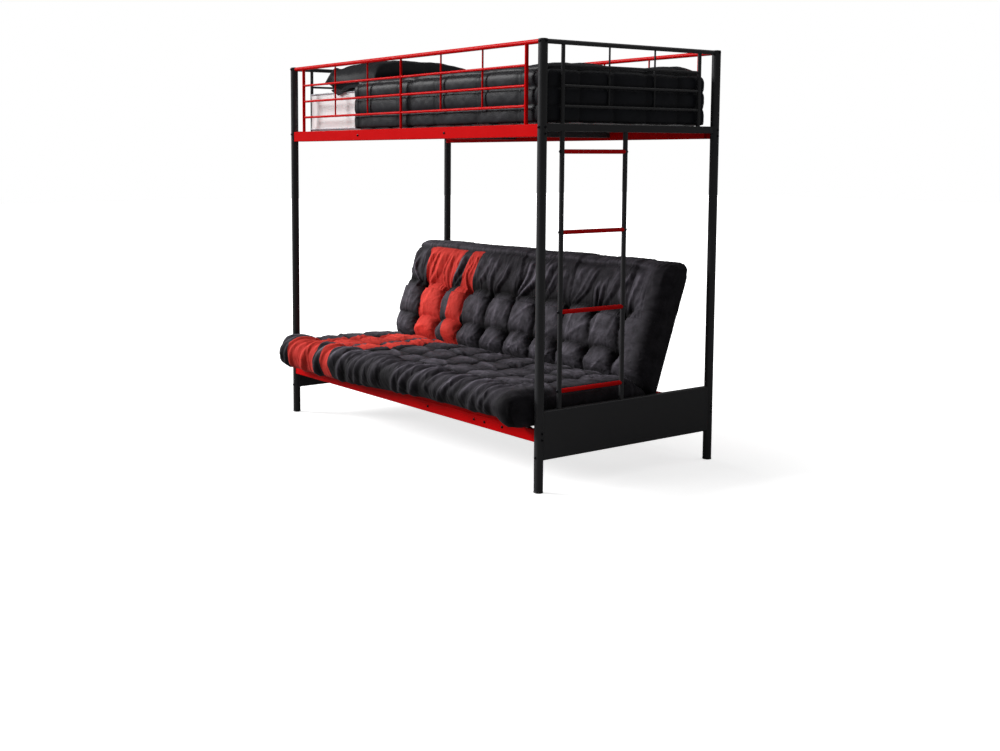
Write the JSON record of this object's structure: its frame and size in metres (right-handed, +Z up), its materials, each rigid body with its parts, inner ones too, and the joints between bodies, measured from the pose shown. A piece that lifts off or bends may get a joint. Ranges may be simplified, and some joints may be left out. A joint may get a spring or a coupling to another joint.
{
  "type": "futon bunk bed",
  "caption": "High single bed on round steel posts with guard rails and an end ladder, over a tufted futon sofa that slides forward and folds flat.",
  "frame": {"origin": "on the floor, under the middle of the bounding box", "axes": "+X along the bed towards the ladder end, -Y towards the open front of the futon, +Z up"},
  "size_m": [1.9854, 1.1327, 1.8346],
  "materials": {
    "red_enamel": "gloss",
    "black_enamel": "satin",
    "black_bolt": "satin",
    "black_plastic": "matte",
    "nylon": "matte",
    "futon_fabric": "woven cotton",
    "mattress_fabric": "quilted knit",
    "cover_fabric": "quilted cotton",
    "pillow_fabric": "woven cotton"
  },
  "bodies": {
    "bed": {"upper_rail_front": "red_enamel", "upper_rail_rear": "red_enamel", "lower_rail_front": "red_enamel", "lower_rail_rear": "red_enamel", "guard_front_top": "red_enamel", "guard_front_stiles": "red_enamel", "guard_front_bars": "red_enamel", "guard_front_pickets": "red_enamel", "guard_rear_top": "red_enamel", "guard_rear_stiles": "red_enamel", "guard_rear_bars": "red_enamel", "guard_rear_pickets": "red_enamel", "ladder_rungs": "red_enamel", "base_side_tubes": "red_enamel", "post_front_left": "black_enamel", "post_front_right": "black_enamel", "post_rear_left": "black_enamel", "post_rear_right": "black_enamel", "cross_supports": "black_enamel", "upper_slats": "black_enamel", "end_left_top": "black_enamel", "end_left_rail": "black_enamel", "end_left_stiles": "black_enamel", "end_left_bars": "black_enamel", "end_left_pickets": "black_enamel", "end_right_top": "black_enamel", "end_right_rail": "black_enamel", "end_right_stiles": "black_enamel", "end_right_bars": "black_enamel", "end_right_pickets": "black_enamel", "lower_panel_left": "black_enamel", "lower_panel_right": "black_enamel", "ladder_rails": "black_enamel", "slide_tracks": "black_enamel", "post_bolts": "black_bolt", "rail_bolts": "black_bolt", "ladder_bolts": "black_bolt", "post_feet": "black_plastic", "post_caps": "black_plastic", "rail_skids": "nylon", "upper_mattress": "mattress_fabric", "duvet": "cover_fabric", "pillow": "pillow_fabric"},
    "futon_seat": {"seat_front_tube": "red_enamel", "seat_rear_tube": "red_enamel", "seat_side_tubes": "red_enamel", "seat_slats": "black_enamel", "seat_hinge_plates": "red_enamel", "hinge_pins": "black_bolt", "seat_rollers": "nylon", "seat_pad": "futon_fabric"},
    "futon_back": {"back_bottom_tube": "red_enamel", "back_top_tube": "red_enamel", "back_side_tubes": "red_enamel", "back_slats": "black_enamel", "back_hinge_plates": "red_enamel", "back_rollers": "nylon", "back_pad": "futon_fabric"}
  },
  "joints": [
    {"name": "seat_slide", "type": "slide", "parent": "bed", "child": "futon_seat", "axis": [0, -1, 0], "range_m": [0, 0.31]},
    {"name": "back_recline", "type": "hinge", "parent": "futon_seat", "child": "futon_back", "pos_m": [0, 0.23367, 0.2708], "axis": [-1, 0, 0], "range_deg": [0, 70]}
  ],
  "couplings": [
    {"joint": "back_recline", "follows": "seat_slide", "rad_per_m": 3.9411}
  ]
}
